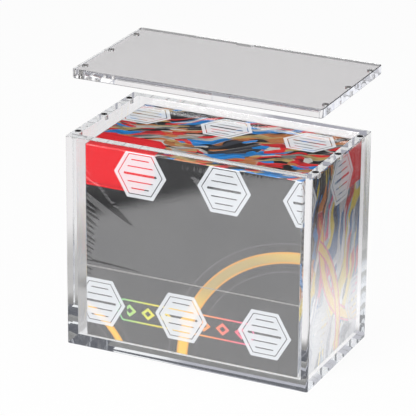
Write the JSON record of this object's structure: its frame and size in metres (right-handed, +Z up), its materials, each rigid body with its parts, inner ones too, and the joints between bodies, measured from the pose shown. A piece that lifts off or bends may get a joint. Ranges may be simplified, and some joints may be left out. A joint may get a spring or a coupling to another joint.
{
  "type": "booster box acrylic display",
  "caption": "Clear acrylic display case with a lift-off lid plate held by disc magnets, standing round a film-wrapped printed carton of card packs.",
  "frame": {"origin": "middle of the case's underside, on the surface it stands on", "axes": "+X to the case's right seen from its front, +Y to its back, +Z up"},
  "size_m": [0.16, 0.0872, 0.1721],
  "materials": {
    "acrylic": "clear, polished faces and edges",
    "magnet": "nickel plated",
    "carton": "printed, satin",
    "film": "clear shrink film",
    "pack": "foil-faced wrapper"
  },
  "bodies": {
    "case": {"base_plate": "acrylic", "front_panel": "acrylic", "back_panel": "acrylic", "left_panel": "acrylic", "right_panel": "acrylic", "case_magnet_left_front": "magnet", "case_magnet_left_middle": "magnet", "case_magnet_left_back": "magnet", "case_magnet_right_front": "magnet", "case_magnet_right_middle": "magnet", "case_magnet_right_back": "magnet"},
    "carton": {"booster_tray": "carton", "booster_cover": "carton", "shrink_film": "film", "card_packs_left": "pack", "card_packs_right": "pack"},
    "lid": {"lid_plate": "acrylic", "lid_magnet_left_front": "magnet", "lid_magnet_left_middle": "magnet", "lid_magnet_left_back": "magnet", "lid_magnet_right_front": "magnet", "lid_magnet_right_middle": "magnet", "lid_magnet_right_back": "magnet"}
  },
  "joints": [
    {"name": "carton_lift", "type": "slide", "parent": "case", "child": "carton", "axis": [0, 0, 1], "range_m": [0, 0.13]},
    {"name": "lid_lift", "type": "slide", "parent": "carton", "child": "lid", "axis": [0.1379, 0, 0.9904], "range_m": [-0.0362, 0.06]}
  ]
}
